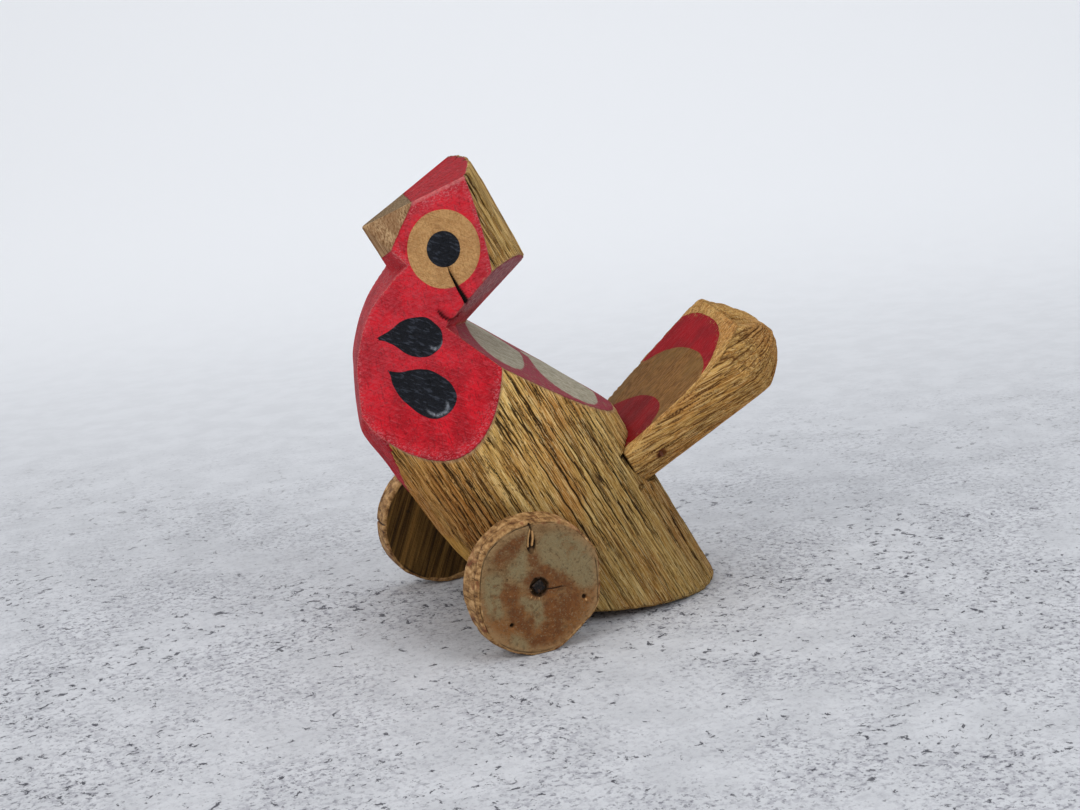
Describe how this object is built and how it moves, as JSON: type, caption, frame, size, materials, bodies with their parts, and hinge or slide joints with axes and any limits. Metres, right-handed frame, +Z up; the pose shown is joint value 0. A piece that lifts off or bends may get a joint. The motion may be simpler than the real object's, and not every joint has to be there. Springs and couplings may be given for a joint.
{
  "type": "wheeled toy bird",
  "caption": "Leaning branch carved into a bird with a faceted head, a split-branch tail and two slice wheels turning on nails; it rests on the wheels and its heel.",
  "frame": {"origin": "middle of the footprint's bounding box, on the floor", "axes": "+Z up, the bird faces -X, its left side is -Y; the wheels turn about Y"},
  "size_m": [0.1286, 0.0858, 0.137],
  "materials": {
    "log_wood": "matte",
    "tail_wood": "matte",
    "wheel_wood": "matte",
    "nail_iron": "matte",
    "tack_iron": "matte"
  },
  "bodies": {
    "body": {"body_log": "log_wood", "tail": "tail_wood", "tail_tack": "tack_iron", "axle_nail_left": "nail_iron", "axle_nail_right": "nail_iron"},
    "wheel_l": {"wheel_left": "wheel_wood"},
    "wheel_r": {"wheel_right": "wheel_wood"}
  },
  "joints": [
    {"name": "wheel_left_spin", "type": "hinge", "parent": "body", "child": "wheel_l", "pos_m": [-0.03094, 0, 0.0196], "axis": [0, 1, 0], "continuous": true},
    {"name": "wheel_right_spin", "type": "hinge", "parent": "body", "child": "wheel_r", "pos_m": [-0.02984, 0, 0.0204], "axis": [0, 1, 0], "continuous": true}
  ]
}
